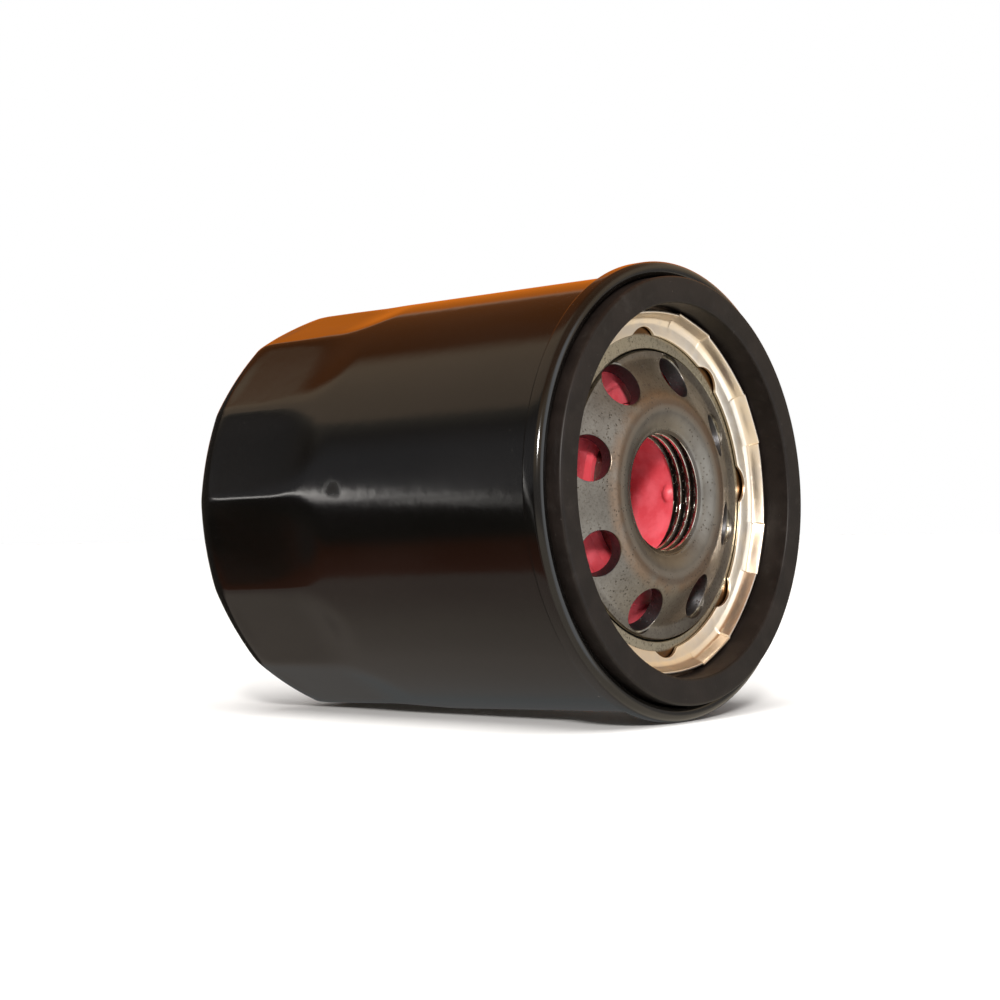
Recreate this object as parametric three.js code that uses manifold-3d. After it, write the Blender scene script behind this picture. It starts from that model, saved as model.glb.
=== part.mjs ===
// Spin-on oil filter for a small engine, in millimetres.
//
// Every piece is drawn standing on its closed end, with the filter's axis along Y and the closed
// end's outer face at y = 0. The outer group then lays the filter on its side: the axis becomes +X,
// pointing at the engine, and +Z stays up. A profile is a list of [radius, height] points.
// Angles around the axis start at the side facing -Y in the laid-down filter and rise towards +Z.

import * as THREE from 'three';
import { mergeVertices } from 'three/addons/utils/BufferGeometryUtils.js';
import Module from 'manifold-3d';

const wasm = await Module();
wasm.setup();

// ---- Driving dimensions ---------------------------------------------------------------------

const LENGTH = 73.2;              // closed end to the gasket's sealing face
const SHEET = 0.45;               // sheet steel of the can and the lid
const FIT = 0.05;                 // clearance between layers that are pressed together
const ROUND = 56;                 // sides of a large round piece: a multiple of 14 and of 8
const INNER_ROUND = 28;           // sides of a round piece inside the can

// can
const CAN_R = 32.75;
const SHOULDER_R = 4.0;
const END_PANEL_R = 22;
const END_PANEL_STEP = 0.5;
const FLAT_COUNT = 14;
const FLAT_TURN = 3;              // degrees the filter is rolled from having a corner level
const FLAT_APOTHEM = 32.0;        // centre line to the middle of a wrench flat
const FLAT_LENGTH = 18.5;         // closed end to where the flats start to run out
const RUNOUT_R = 54;              // radius of the tool that leaves the scalloped run-out

// double seam, from the inside out: lid wall, can wall, lid hook, can hook, lid cover
const LAYER = SHEET + FIT;
const SEAM_INNER_R = CAN_R - 2 * SHEET - FIT;
const RIM_R = SEAM_INNER_R + 5 * LAYER - FIT;
const SEAM_TOP = LENGTH - 1.95;
const SEAM_BOTTOM = LENGTH - 5.0;

// gasket
const GASKET_OUTER_R = SEAM_INNER_R - FIT;
const GASKET_INNER_R = 27.75;
const GASKET_HEIGHT = 5.2;

// lid
const LID_CREST = LENGTH - 4.1;   // top of the ridge that holds the gasket from inside
const RIDGE_FOOT_R = 25.9;        // where the ridge's inner slope meets the ring on the plate
const LID_EDGE_R = 23.7;
const LID_EDGE = LENGTH - 6.53;
const NOTCH_COUNT = 8;
const NOTCH_R = 3.74;
const NOTCH_CENTRE_R = 21.1;
const NOTCH_ANGLE = 38.6;

// threaded plate
const THREAD_MAJOR_R = 9.525;     // 3/4-16 UNF
const THREAD_MINOR_R = 8.72;
const THREAD_PITCH = 1.5875;
const MOUTH = LENGTH - 4.36;      // where the face has rolled over into the thread
const CREST_R = 12.6;             // highest ring of the face, between the roll-over and the cone
const CREST = LENGTH - 3.45;
const NECK_END = LENGTH - 9.3;
const NECK_R = 11.8;
const DISC_R = 22.2;
const FLANGE_R = 26.3;
const FLANGE_TOP = LID_EDGE - SHEET - FIT;
const FLANGE_THICKNESS = 2.25;
const PLATE_THICKNESS = 2.6;      // measured along the axis, on the cone
const INLET_COUNT = 8;
const CONE_ANGLE = 27.5;          // fall of the conical face that carries the inlets
const INLET_R = 3.4;
const INLET_HEIGHT = LENGTH - 5.5;    // the cone's face on the inlets' circle
const INLET_CIRCLE_R = 18.1;
const DOME_UNDERSIDE = CREST - 2.6;
const INLET_ANGLE = 12.6;

// anti-drain valve
const VALVE_BORE_R = 9.6;
const VALVE_NECK_R = 10.9;
const VALVE_HUB_R = 13.6;
const VALVE_NECK_END = 52;
const LIP_OUTER_R = 24.3;

// filter element
const ELEMENT_R = 27.2;
const CAP_SHEET = 0.5;
const CAP_RIM = 3.2;              // depth of a cap's turned rim
const COLLAR_R = 11.3;            // bore of the upper cap's collar, around the valve's sleeve
const COLLAR_LENGTH = 3.5;
const UPPER_CAP_TOP = 60.5;
const LOWER_CAP_BOTTOM = 10.8;
const BOND_THICKNESS = 0.8;
const TUBE_R = 12.8;
const TUBE_WALL = 0.5;
const TUBE_HOLE_R = 2.2;
const TUBE_HOLE_ROWS = 4;
const TUBE_ROW_START = 20;
const TUBE_ROW_PITCH = 9.5;
const TUBE_HOLES_PER_ROW = 8;
const PLEAT_COUNT = 32;
const PLEAT_OUTER_R = 25.8;
const PLEAT_INNER_R = 13.9;
const PAPER = 0.8;

// relief valve in the lower end cap
const PORT_R = 6.5;
const POPPET_R = 7.6;
const STEM_R = 1.8;
const CAGE_R = 9.1;
const CAGE_FLANGE_R = 11.6;
const CAGE_TOP = 21;
const CAGE_WINDOW_HEIGHT = 15.6;
const SEAL_THICKNESS = 1.1;
const RELIEF_WIRE_R = 0.45;
const RELIEF_COIL_R = 4.6;

// element spring
const SPRING_WIRE_R = 0.9;
const SPRING_LOW_R = 11.1;
const SPRING_HIGH_R = 16;
const CUP_R = 10.0;

// ---- Geometry helpers -----------------------------------------------------------------------

const radians = (degrees) => THREE.MathUtils.degToRad(degrees);

/** Keeps only shared positions, and drops the faces that closed up when points were merged. */
function weld(geometry) {
  const bare = geometry.clone();
  bare.deleteAttribute('normal');
  bare.deleteAttribute('uv');
  const merged = mergeVertices(bare, 1e-4);
  const corners = merged.index.array;
  const kept = [];
  for (let i = 0; i < corners.length; i += 3) {
    const [a, b, c] = corners.slice(i, i + 3);
    if (a !== b && b !== c && c !== a) kept.push(a, b, c);
  }
  merged.setIndex(kept);
  return merged;
}

/** Turns every face round if the solid's signed volume says that the faces point inwards. */
function faceOutwards(geometry) {
  const position = geometry.getAttribute('position');
  const corners = Array.from(geometry.index.array);
  const [a, b, c] = [new THREE.Vector3(), new THREE.Vector3(), new THREE.Vector3()];
  let volume = 0;
  for (let i = 0; i < corners.length; i += 3) {
    a.fromBufferAttribute(position, corners[i]);
    b.fromBufferAttribute(position, corners[i + 1]);
    c.fromBufferAttribute(position, corners[i + 2]);
    volume += a.dot(b.cross(c));
  }
  if (volume < 0) geometry.setIndex(corners.reverse());
  return geometry;
}

/** A solid of revolution about Y from a closed [radius, height] outline. */
function revolve(outline, sides) {
  const touchesAxis = outline[0][0] === 0;
  const closed = touchesAxis ? outline : [...outline, outline[0]];
  const points = closed.map(([radius, height]) => new THREE.Vector2(radius, height));
  return faceOutwards(weld(new THREE.LatheGeometry(points, sides)));
}

/** Points on a circular arc in the [radius, height] plane; 0 degrees points outwards, 90 up. */
function arc(centreRadius, centreHeight, size, from, to, steps) {
  return Array.from({ length: steps + 1 }, (_, i) => {
    const angle = radians(from + ((to - from) * i) / steps);
    return [centreRadius + size * Math.cos(angle), centreHeight + size * Math.sin(angle)];
  });
}

function toManifold(geometry) {
  const welded = faceOutwards(weld(geometry));
  return new wasm.Manifold(new wasm.Mesh({
    numProp: 3,
    vertProperties: new Float32Array(welded.getAttribute('position').array),
    triVerts: new Uint32Array(welded.index.array),
  }));
}

function fromManifold(solid) {
  const mesh = solid.getMesh();
  const geometry = new THREE.BufferGeometry();
  geometry.setAttribute('position', new THREE.BufferAttribute(mesh.vertProperties, 3));
  geometry.setIndex(new THREE.BufferAttribute(mesh.triVerts, 1));
  return geometry;
}

/** The body with every cutter taken away. */
function cut(body, cutters) {
  const solid = cutters.reduce((rest, tool) => rest.subtract(toManifold(tool)), toManifold(body));
  return fromManifold(solid);
}

/** Copies of a tool, equally spaced about the axis, the first one at startAngle. */
function aroundAxis(tool, count, startAngle) {
  return Array.from({ length: count }, (_, i) => (
    tool.clone().rotateY(-radians(startAngle + (i * 360) / count))
  ));
}

function ring(innerR, outerR, bottom, top, sides) {
  return revolve([[innerR, bottom], [outerR, bottom], [outerR, top], [innerR, top]], sides);
}

/** A helix about Y whose radius may change from one end to the other. */
class Helix extends THREE.Curve {
  constructor(startR, endR, startHeight, endHeight, turns) {
    super();
    Object.assign(this, { startR, endR, startHeight, endHeight, turns });
  }

  getPoint(t) {
    const angle = t * this.turns * 2 * Math.PI;
    const radius = THREE.MathUtils.lerp(this.startR, this.endR, t);
    const height = THREE.MathUtils.lerp(this.startHeight, this.endHeight, t);
    return new THREE.Vector3(radius * Math.cos(angle), height, radius * Math.sin(angle));
  }
}

function coil(helix, wireR, stepsPerTurn) {
  const wireSides = 6;
  const section = new THREE.Shape(Array.from({ length: wireSides }, (_, i) => {
    const angle = (i * 2 * Math.PI) / wireSides;
    return new THREE.Vector2(wireR * Math.cos(angle), wireR * Math.sin(angle));
  }));
  const steps = Math.round(helix.turns * stepsPerTurn);
  const options = { steps, extrudePath: helix, bevelEnabled: false };
  return faceOutwards(weld(new THREE.ExtrudeGeometry(section, options)));
}

// ---- Housing --------------------------------------------------------------------------------

/** How far the pressed flats pull the round can in at a height and an angle, as a factor.
 *  Over the shoulder the flats fade into the round end. */
function flatFactor(height, angle) {
  const pitch = (2 * Math.PI) / FLAT_COUNT;
  const fromCorner = ((angle % pitch) + pitch) % pitch;
  const fromMiddle = fromCorner - pitch / 2;
  const runout = Math.max(0, height - FLAT_LENGTH) ** 2 / (2 * RUNOUT_R);
  const flat = Math.min(1, (FLAT_APOTHEM + runout) / Math.cos(fromMiddle) / CAN_R);
  const round = (FLAT_APOTHEM + CAN_R) / 2 / CAN_R;
  const share = Math.min(1, Math.max(0, height / (END_PANEL_STEP + SHOULDER_R)));
  return round + (flat - round) * share;
}

function pressFlats(geometry) {
  const position = geometry.getAttribute('position');
  for (let i = 0; i < position.count; i += 1) {
    const factor = flatFactor(position.getY(i), Math.atan2(position.getZ(i), position.getX(i)));
    position.setX(i, position.getX(i) * factor);
    position.setZ(i, position.getZ(i) * factor);
  }
  return geometry;
}

/** The drawn steel can, open at the top, where its flange is hooked into the double seam. */
function housingCan() {
  const innerR = CAN_R - SHEET;
  const hookR = SEAM_INNER_R + 3 * LAYER;
  const flangeTop = SEAM_TOP - LAYER;
  const shoulderHeight = END_PANEL_STEP + SHOULDER_R;
  const shoulderCentreR = CAN_R - SHOULDER_R;
  const runoutHeights = [FLAT_LENGTH, FLAT_LENGTH + 5, FLAT_LENGTH + 9.2];
  const outline = [
    [0, 0],
    [END_PANEL_R, 0],
    [END_PANEL_R + 2, END_PANEL_STEP],
    ...arc(shoulderCentreR, shoulderHeight, SHOULDER_R, -90, 0, 3),
    ...runoutHeights.map((height) => [CAN_R, height]),
    [CAN_R, flangeTop - SHEET],
    [hookR, flangeTop - SHEET],
    [hookR, SEAM_BOTTOM + LAYER],
    [hookR + SHEET, SEAM_BOTTOM + LAYER],
    [hookR + SHEET, flangeTop],
    [innerR, flangeTop],
    ...[...runoutHeights].reverse().map((height) => [innerR, height]),
    ...arc(shoulderCentreR, shoulderHeight, SHOULDER_R - SHEET, 0, -90, 2),
    [END_PANEL_R + 2, END_PANEL_STEP + SHEET],
    [END_PANEL_R, SHEET],
    [0, SHEET],
  ];
  return pressFlats(revolve(outline, ROUND));
}

/** The tin-plated lid: seam cover, gasket channel, retaining ridge and the ring on the plate. */
function seamingLid() {
  const channelTop = LENGTH - GASKET_HEIGHT - FIT;
  const channelBottom = channelTop - SHEET;
  const wallR = SEAM_INNER_R + SHEET;
  const hookR = SEAM_INNER_R + 2 * LAYER;
  const coverR = SEAM_INNER_R + 4 * LAYER;
  const crestSize = (RIM_R - SEAM_INNER_R) / 2;
  const crestCentreR = (RIM_R + SEAM_INNER_R) / 2;
  const ridgeR = GASKET_INNER_R - 0.15;
  const outline = [
    [ridgeR, channelTop],
    [SEAM_INNER_R, channelTop],
    ...arc(crestCentreR, SEAM_TOP - crestSize, crestSize, 180, 0, 4),
    [RIM_R, SEAM_BOTTOM],
    [hookR, SEAM_BOTTOM],
    [hookR, SEAM_TOP - 2 * LAYER - FIT],
    [hookR + SHEET, SEAM_TOP - 2 * LAYER - FIT],
    [hookR + SHEET, SEAM_BOTTOM + SHEET],
    [coverR, SEAM_BOTTOM + SHEET],
    [coverR, SEAM_TOP - SHEET],
    [wallR, SEAM_TOP - SHEET],
    [wallR, channelBottom],
    [RIDGE_FOOT_R + 0.6, channelBottom],
    [RIDGE_FOOT_R - 0.4, LID_EDGE + 0.02],
    [LID_EDGE_R, LID_EDGE - SHEET],
    [LID_EDGE_R, LID_EDGE],
    [RIDGE_FOOT_R - 0.6, LID_EDGE + 0.45],
    [RIDGE_FOOT_R, LID_EDGE + 0.95],
    [ridgeR - 0.4, LID_CREST - 0.15],
    [ridgeR - 0.1, LID_CREST],
  ];
  const notchTool = new THREE.CylinderGeometry(NOTCH_R, NOTCH_R, 4, 20);
  notchTool.translate(NOTCH_CENTRE_R, LID_EDGE, 0);
  return cut(revolve(outline, ROUND), aroundAxis(notchTool, NOTCH_COUNT, NOTCH_ANGLE));
}

/** Grooves that stand for the thread, from the mouth's chamfer down the neck's bore. */
function threadOutline() {
  const depth = THREAD_MAJOR_R - THREAD_MINOR_R;
  const points = [[THREAD_MAJOR_R, MOUTH]];
  for (let crest = MOUTH - depth; crest > NECK_END + THREAD_PITCH; crest -= THREAD_PITCH) {
    points.push([THREAD_MINOR_R, crest]);
    points.push([THREAD_MAJOR_R, crest - THREAD_PITCH / 2]);
  }
  points.push([THREAD_MINOR_R, NECK_END + 0.3]);
  points.push([THREAD_MINOR_R, NECK_END]);
  return points;
}

/** The thick pressed plate that carries the thread and the ring of oil inlets. */
function tappingPlate() {
  const fall = Math.tan(radians(CONE_ANGLE));
  const coneHeight = (radius) => INLET_HEIGHT - fall * (radius - INLET_CIRCLE_R);
  const underside = FLANGE_TOP - FLANGE_THICKNESS;
  const bendR = DISC_R - 1.8;
  const outline = [
    ...threadOutline(),
    [NECK_R, NECK_END],
    [NECK_R, DOME_UNDERSIDE - 0.7],
    [NECK_R + 0.9, DOME_UNDERSIDE],
    [CREST_R + 1.5, DOME_UNDERSIDE],
    [INLET_CIRCLE_R + (INLET_HEIGHT - PLATE_THICKNESS - underside) / fall, underside],
    [FLANGE_R, underside],
    [FLANGE_R, FLANGE_TOP],
    [DISC_R + 0.4, FLANGE_TOP],
    [DISC_R, coneHeight(bendR) - 0.1],
    [bendR, coneHeight(bendR)],
    [CREST_R + 1.9, coneHeight(CREST_R + 1.9)],
    [CREST_R + 0.8, CREST - 0.05],
    [CREST_R, CREST],
    [CREST_R - 1.6, CREST - 0.25],
  ];
  const drill = new THREE.CylinderGeometry(INLET_R, INLET_R, 12, 20);
  drill.rotateZ(-radians(CONE_ANGLE));
  drill.translate(INLET_CIRCLE_R, INLET_HEIGHT, 0);
  return cut(revolve(outline, ROUND), aroundAxis(drill, INLET_COUNT, INLET_ANGLE));
}

/** The square-section rubber ring that seals on the engine. */
function sealingGasket() {
  const chamfer = 0.35;
  const bottom = LENGTH - GASKET_HEIGHT;
  return revolve([
    [GASKET_INNER_R, bottom],
    [GASKET_OUTER_R, bottom],
    [GASKET_OUTER_R, LENGTH - chamfer],
    [GASKET_OUTER_R - chamfer, LENGTH],
    [GASKET_INNER_R + chamfer, LENGTH],
    [GASKET_INNER_R, LENGTH - chamfer],
  ], ROUND);
}

// ---- Anti-drain valve -----------------------------------------------------------------------

/** The silicone hub: a washer clamped under the plate's neck, and a sleeve into the element. */
function antiDrainValve() {
  const top = NECK_END - FIT;
  return revolve([
    [VALVE_BORE_R, VALVE_NECK_END],
    [VALVE_NECK_R, VALVE_NECK_END],
    [VALVE_NECK_R, UPPER_CAP_TOP + FIT],
    [VALVE_HUB_R, UPPER_CAP_TOP + FIT],
    [VALVE_HUB_R, top - 0.6],
    [VALVE_HUB_R - 1.2, top],
    [VALVE_BORE_R, top],
  ], ROUND);
}

/** The thin outer lip of the valve, which covers the inlets and lifts off when oil flows. */
function valveLip() {
  const seat = FLANGE_TOP - FLANGE_THICKNESS;
  return revolve([
    [VALVE_HUB_R + 0.1, seat - 1.35],
    [20, seat - 1.2],
    [LIP_OUTER_R, seat - 0.7],
    [LIP_OUTER_R, seat - 0.1],
    [22.6, seat - 0.1],
    [20, seat - 0.3],
    [VALVE_HUB_R + 0.1, seat - 0.35],
  ], ROUND);
}

// ---- Filter element -------------------------------------------------------------------------

/** The pressed cap on the engine side, with a collar around the valve's sleeve. */
function upperEndCap() {
  const under = UPPER_CAP_TOP - CAP_SHEET;
  return revolve([
    [COLLAR_R, UPPER_CAP_TOP],
    [COLLAR_R, UPPER_CAP_TOP - COLLAR_LENGTH],
    [COLLAR_R + CAP_SHEET, UPPER_CAP_TOP - COLLAR_LENGTH],
    [COLLAR_R + CAP_SHEET, under],
    [ELEMENT_R - CAP_SHEET, under],
    [ELEMENT_R - CAP_SHEET, UPPER_CAP_TOP - CAP_RIM],
    [ELEMENT_R, UPPER_CAP_TOP - CAP_RIM],
    [ELEMENT_R, UPPER_CAP_TOP],
  ], INNER_ROUND);
}

/** The pressed cap on the closed side, whose port the relief valve closes. */
function lowerEndCap() {
  const top = LOWER_CAP_BOTTOM + CAP_SHEET;
  return revolve([
    [PORT_R, LOWER_CAP_BOTTOM],
    [ELEMENT_R, LOWER_CAP_BOTTOM],
    [ELEMENT_R, LOWER_CAP_BOTTOM + CAP_RIM],
    [ELEMENT_R - CAP_SHEET, LOWER_CAP_BOTTOM + CAP_RIM],
    [ELEMENT_R - CAP_SHEET, top],
    [PORT_R, top],
  ], INNER_ROUND);
}

const PLEAT_BOTTOM = LOWER_CAP_BOTTOM + CAP_SHEET + BOND_THICKNESS + 2 * FIT;
const PLEAT_TOP = UPPER_CAP_TOP - CAP_SHEET - BOND_THICKNESS - 2 * FIT;

/** A disc of cured adhesive that bonds the paper to an end cap. */
function bondRing(bottom) {
  return ring(TUBE_R + 0.2, ELEMENT_R - CAP_SHEET - 0.2, bottom, bottom + BOND_THICKNESS, INNER_ROUND);
}

/** One zigzag line around the axis, with its folds moved outwards by offset. */
function pleatLine(offset) {
  const points = [];
  const flank = radians(180 / PLEAT_COUNT);
  const foldHalf = radians(1.4);
  for (let i = 0; i < PLEAT_COUNT; i += 1) {
    const tip = (i * 2 * Math.PI) / PLEAT_COUNT;
    const outerHalf = foldHalf + (offset > 0 ? radians(0.9) : 0);
    const innerHalf = foldHalf + (offset > 0 ? 0 : radians(1.8));
    points.push([tip - outerHalf, PLEAT_OUTER_R + offset]);
    points.push([tip + outerHalf, PLEAT_OUTER_R + offset]);
    points.push([tip + flank - innerHalf, PLEAT_INNER_R + offset]);
    points.push([tip + flank + innerHalf, PLEAT_INNER_R + offset]);
  }
  return points.map(([angle, radius]) => (
    new THREE.Vector2(radius * Math.cos(angle), radius * Math.sin(angle))
  ));
}

/** The pleated filter paper: one closed zigzag wall around the centre tube. */
function pleatedMedia() {
  const section = new THREE.Shape(pleatLine(PAPER / 2));
  section.holes.push(new THREE.Path(pleatLine(-PAPER / 2)));
  const options = { depth: PLEAT_TOP - PLEAT_BOTTOM, bevelEnabled: false };
  const wall = new THREE.ExtrudeGeometry(section, options);
  return faceOutwards(weld(wall.rotateX(-Math.PI / 2).translate(0, PLEAT_BOTTOM, 0)));
}

/** The folded metal strip that joins the two ends of the paper over one pleat. */
function mediaSeamClip() {
  const outer = PLEAT_OUTER_R + PAPER / 2 + 0.12;
  const halfWidth = 1.6;
  const metal = 0.3;
  const length = PLEAT_TOP - PLEAT_BOTTOM - 4;
  const reach = 2.2;
  const section = new THREE.Shape([
    new THREE.Vector2(outer - reach, -halfWidth - metal),
    new THREE.Vector2(outer + metal, -halfWidth - metal),
    new THREE.Vector2(outer + metal, halfWidth + metal),
    new THREE.Vector2(outer - reach, halfWidth + metal),
    new THREE.Vector2(outer - reach, halfWidth),
    new THREE.Vector2(outer, halfWidth),
    new THREE.Vector2(outer, -halfWidth),
    new THREE.Vector2(outer - reach, -halfWidth),
  ]);
  const strip = new THREE.ExtrudeGeometry(section, { depth: length, bevelEnabled: false });
  return faceOutwards(weld(strip.rotateX(-Math.PI / 2).translate(0, PLEAT_BOTTOM + 2, 0)));
}

/** The perforated steel tube that stops the paper collapsing inwards. */
function centreTube() {
  const bottom = LOWER_CAP_BOTTOM + CAP_SHEET + FIT;
  const top = UPPER_CAP_TOP - CAP_SHEET - FIT;
  const tube = ring(TUBE_R - TUBE_WALL, TUBE_R, bottom, top, INNER_ROUND);
  const punches = [];
  for (let row = 0; row < TUBE_HOLE_ROWS; row += 1) {
    const punch = new THREE.CylinderGeometry(TUBE_HOLE_R, TUBE_HOLE_R, 6, 8).rotateZ(Math.PI / 2);
    punch.translate(TUBE_R, TUBE_ROW_START + row * TUBE_ROW_PITCH, 0);
    const stagger = row % 2 ? 180 / TUBE_HOLES_PER_ROW : 0;
    punches.push(...aroundAxis(punch, TUBE_HOLES_PER_ROW, stagger));
  }
  return cut(tube, punches);
}

// ---- Relief valve ---------------------------------------------------------------------------

const SEAT_HEIGHT = LOWER_CAP_BOTTOM + CAP_SHEET + FIT;

/** The windowed cup over the relief valve, which guides the stem and backs its spring. */
function reliefCage() {
  const cup = revolve([
    [CAGE_R - CAP_SHEET, SEAT_HEIGHT],
    [CAGE_FLANGE_R, SEAT_HEIGHT],
    [CAGE_FLANGE_R, SEAT_HEIGHT + CAP_SHEET],
    [CAGE_R, SEAT_HEIGHT + CAP_SHEET],
    [CAGE_R, CAGE_TOP],
    [STEM_R + 0.4, CAGE_TOP],
    [STEM_R + 0.4, CAGE_TOP - CAP_SHEET],
    [CAGE_R - CAP_SHEET, CAGE_TOP - CAP_SHEET],
  ], INNER_ROUND);
  const window = new THREE.BoxGeometry(6, 5, 6).translate(CAGE_R, CAGE_WINDOW_HEIGHT, 0);
  return cut(cup, aroundAxis(window, 4, 45));
}

/** The mushroom-shaped plunger that the relief spring holds on its seat. */
function reliefPoppet() {
  const bottom = SEAT_HEIGHT + SEAL_THICKNESS + FIT;
  return revolve([
    [0, bottom],
    [POPPET_R, bottom],
    [POPPET_R, bottom + 0.8],
    [STEM_R + 1, bottom + 0.8],
    [STEM_R, bottom + 1.6],
    [STEM_R, CAGE_TOP + 1.5],
    [0, CAGE_TOP + 1.5],
  ], INNER_ROUND);
}

/** The rubber disc under the plunger, which closes the port in the lower end cap. */
function reliefSeal() {
  const disc = new THREE.CylinderGeometry(POPPET_R + 0.2, POPPET_R + 0.2, SEAL_THICKNESS, INNER_ROUND);
  return weld(disc.translate(0, SEAT_HEIGHT + SEAL_THICKNESS / 2, 0));
}

function reliefSpring() {
  const start = SEAT_HEIGHT + SEAL_THICKNESS + 2 * FIT + 0.8 + RELIEF_WIRE_R;
  const end = CAGE_TOP - CAP_SHEET - FIT - RELIEF_WIRE_R;
  return coil(new Helix(RELIEF_COIL_R, RELIEF_COIL_R, start, end, 4), RELIEF_WIRE_R, 12);
}

// ---- Element spring -------------------------------------------------------------------------

/** The shallow dish in the closed end that keeps the element spring centred. */
function springCup() {
  const bottom = SHEET + FIT;
  return revolve([
    [0, bottom],
    [CUP_R, bottom],
    [CUP_R, bottom + 2.4],
    [CUP_R - CAP_SHEET, bottom + 2.4],
    [CUP_R - CAP_SHEET, bottom + CAP_SHEET],
    [0, bottom + CAP_SHEET],
  ], INNER_ROUND);
}

function elementSpring() {
  const start = SHEET + 2 * FIT + SPRING_WIRE_R;
  const end = LOWER_CAP_BOTTOM - 2 * FIT - SPRING_WIRE_R;
  return coil(new Helix(SPRING_LOW_R, SPRING_HIGH_R, start, end, 2.5), SPRING_WIRE_R, 18);
}

// ---- Finishes -------------------------------------------------------------------------------

const finish = (color, roughness, metalness) => ({ color, roughness, metalness });

const BLACK_PAINT = finish(0x14120f, 0.22, 0.0);
const TINPLATE = finish(0xcfc2a4, 0.32, 1.0);
const PLATE_STEEL = finish(0x7f766b, 0.42, 1.0);
const NITRILE = finish(0x221f1d, 0.55, 0.0);
const SILICONE = finish(0xc02c38, 0.45, 0.0);
const BRIGHT_STEEL = finish(0xa9a8a4, 0.35, 1.0);
const SPRING_STEEL = finish(0x8c8b88, 0.3, 1.0);
const ADHESIVE = finish(0x8f4a26, 0.6, 0.0);
const PAPER_MEDIA = finish(0xd9c08a, 0.9, 0.0);

// ---- Assembly -------------------------------------------------------------------------------

function piece(name, geometry, look) {
  geometry.computeVertexNormals();
  const mesh = new THREE.Mesh(geometry, new THREE.MeshStandardMaterial(look));
  mesh.name = name;
  return mesh;
}

const housing = new THREE.Group();
housing.add(
  piece('housing_can', housingCan(), BLACK_PAINT),
  piece('seaming_lid', seamingLid(), TINPLATE),
  piece('tapping_plate', tappingPlate(), PLATE_STEEL),
  piece('sealing_gasket', sealingGasket(), NITRILE),
  piece('spring_cup', springCup(), BRIGHT_STEEL),
  piece('element_spring', elementSpring(), SPRING_STEEL),
);

const drainValve = new THREE.Group();
drainValve.add(
  piece('anti_drain_valve', antiDrainValve(), SILICONE),
  piece('anti_drain_lip', valveLip(), SILICONE),
);

const element = new THREE.Group();
element.add(
  piece('upper_end_cap', upperEndCap(), BRIGHT_STEEL),
  piece('upper_bond', bondRing(PLEAT_TOP + FIT), ADHESIVE),
  piece('pleated_media', pleatedMedia(), PAPER_MEDIA),
  piece('media_seam_clip', mediaSeamClip(), BRIGHT_STEEL),
  piece('centre_tube', centreTube(), BRIGHT_STEEL),
  piece('lower_bond', bondRing(PLEAT_BOTTOM - FIT - BOND_THICKNESS), ADHESIVE),
  piece('lower_end_cap', lowerEndCap(), BRIGHT_STEEL),
);

const reliefValve = new THREE.Group();
reliefValve.add(
  piece('relief_cage', reliefCage(), BRIGHT_STEEL),
  piece('relief_poppet', reliefPoppet(), BRIGHT_STEEL),
  piece('relief_seal', reliefSeal(), NITRILE),
  piece('relief_spring', reliefSpring(), SPRING_STEEL),
);

const oilFilter = new THREE.Group();
oilFilter.add(housing, drainValve, element, reliefValve);
oilFilter.rotation.set(-radians(FLAT_TURN), 0, -Math.PI / 2);

export default oilFilter;
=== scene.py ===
import math

import bmesh
import bpy
import numpy as np
from mathutils import Matrix, Vector


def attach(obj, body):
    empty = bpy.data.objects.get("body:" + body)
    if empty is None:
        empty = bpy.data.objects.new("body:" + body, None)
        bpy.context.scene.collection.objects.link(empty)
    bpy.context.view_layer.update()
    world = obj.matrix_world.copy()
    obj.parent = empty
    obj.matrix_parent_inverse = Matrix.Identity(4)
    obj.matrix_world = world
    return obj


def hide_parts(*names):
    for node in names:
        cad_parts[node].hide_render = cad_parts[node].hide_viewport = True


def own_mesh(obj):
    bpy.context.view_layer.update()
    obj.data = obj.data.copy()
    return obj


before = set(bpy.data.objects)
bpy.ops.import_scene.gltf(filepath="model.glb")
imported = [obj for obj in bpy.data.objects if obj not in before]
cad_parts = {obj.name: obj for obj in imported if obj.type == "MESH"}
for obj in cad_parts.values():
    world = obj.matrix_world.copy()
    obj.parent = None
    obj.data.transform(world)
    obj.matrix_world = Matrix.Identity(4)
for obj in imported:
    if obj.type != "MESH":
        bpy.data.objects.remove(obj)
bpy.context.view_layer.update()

# Spin-on oil filter, lying on its side: its axis is +X, the engine end faces +X and +Z is up.
# Outlines are lists of (x, r) in millimetres, x along the axis from the closed end and r from
# it. Angles around the axis start at the side facing -Y and rise towards +Z.

# ---- Can -------------------------------------------------------------------------------------
# A cup of 0.45 mm sheet steel, deep-drawn, with fourteen wrench flats pressed in at its closed
# end, whose scalloped run-outs fade into the round wall. It is sprayed with gloss black enamel.

CAN_R = 32.75
CAN_SHEET = 0.45
FLATS = 14
FLAT_APOTHEM = 32.0
FLAT_LENGTH = 18.5
FLAT_TURN = math.radians(3)       # angle of the first corner between flats
RUNOUT_R = 54
POINTS_PER_FLAT = 26
SHOULDER = 6.0                    # x where the flats start to fade into the round end
EDGE_SOFTNESS = 0.13              # rounding of the flats' edges
RUNOUT_SOFTNESS = 0.3             # and how much it grows along their run-outs
TOUCH_MARK = (31.5, -32.6, 2.4)   # where the enamel was touched before it had dried


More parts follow.
